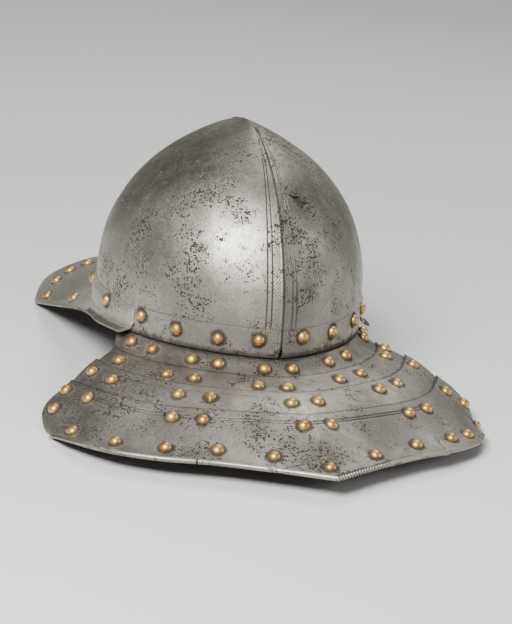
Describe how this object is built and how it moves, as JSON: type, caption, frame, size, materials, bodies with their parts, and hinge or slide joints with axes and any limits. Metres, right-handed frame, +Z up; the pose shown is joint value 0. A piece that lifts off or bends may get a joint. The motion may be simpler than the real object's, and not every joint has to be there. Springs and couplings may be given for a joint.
{
  "type": "pot helmet",
  "caption": "Riveted steel pot helmet: a pointed bowl in two halves, an arched brow peak and a flaring tail of lapped neck plates.",
  "frame": {"origin": "middle of the footprint on the surface the helmet rests on", "axes": "+Z up, the wearer faces -Y, the wearer's left is +X"},
  "size_m": [0.304, 0.4408, 0.1866],
  "materials": {
    "bowl_steel": "old satin steel with dark pitting and brown stains",
    "peak_steel": "darker satin steel with a brown rusty band at the bend",
    "guard_steel": "old satin steel, dark round the rivets and along the laps",
    "rivet_brass": "worn brass caps, bright on top and dark round the foot"
  },
  "bodies": {
    "root": {"skull_left": "bowl_steel", "skull_right": "bowl_steel", "peak": "peak_steel", "lame_1": "guard_steel", "lame_2": "guard_steel", "lame_3": "guard_steel", "lame_4": "guard_steel", "rivet_skull_01": "rivet_brass", "rivet_skull_02": "rivet_brass", "rivet_skull_03": "rivet_brass", "rivet_skull_04": "rivet_brass", "rivet_skull_05": "rivet_brass", "rivet_skull_06": "rivet_brass", "rivet_skull_07": "rivet_brass", "rivet_skull_08": "rivet_brass", "rivet_skull_09": "rivet_brass", "rivet_skull_10": "rivet_brass", "rivet_skull_11": "rivet_brass", "rivet_skull_12": "rivet_brass", "rivet_skull_13": "rivet_brass", "rivet_skull_14": "rivet_brass", "rivet_skull_15": "rivet_brass", "rivet_lame_1_01": "rivet_brass", "rivet_lame_1_02": "rivet_brass", "rivet_lame_1_03": "rivet_brass", "rivet_lame_1_04": "rivet_brass", "rivet_lame_1_05": "rivet_brass", "rivet_lame_1_06": "rivet_brass", "rivet_lame_1_07": "rivet_brass", "rivet_lame_1_08": "rivet_brass", "rivet_lame_1_09": "rivet_brass", "rivet_lame_1_10": "rivet_brass", "rivet_lame_2_01": "rivet_brass", "rivet_lame_2_02": "rivet_brass", "rivet_lame_2_03": "rivet_brass", "rivet_lame_2_04": "rivet_brass", "rivet_lame_2_05": "rivet_brass", "rivet_lame_2_06": "rivet_brass", "rivet_lame_2_07": "rivet_brass", "rivet_lame_2_08": "rivet_brass", "rivet_lame_2_09": "rivet_brass", "rivet_lame_3_01": "rivet_brass", "rivet_lame_3_02": "rivet_brass", "rivet_lame_3_03": "rivet_brass", "rivet_lame_3_04": "rivet_brass", "rivet_lame_3_05": "rivet_brass", "rivet_lame_3_06": "rivet_brass", "rivet_lame_3_07": "rivet_brass", "rivet_lame_3_08": "rivet_brass", "rivet_lame_3_09": "rivet_brass", "rivet_lame_4_01": "rivet_brass", "rivet_lame_4_02": "rivet_brass", "rivet_lame_4_03": "rivet_brass", "rivet_lame_4_04": "rivet_brass", "rivet_lame_4_05": "rivet_brass", "rivet_lame_4_06": "rivet_brass", "rivet_lame_4_07": "rivet_brass", "rivet_lame_4_08": "rivet_brass", "rivet_lame_4_09": "rivet_brass", "rivet_lame_4_10": "rivet_brass"}
  },
  "joints": []
}
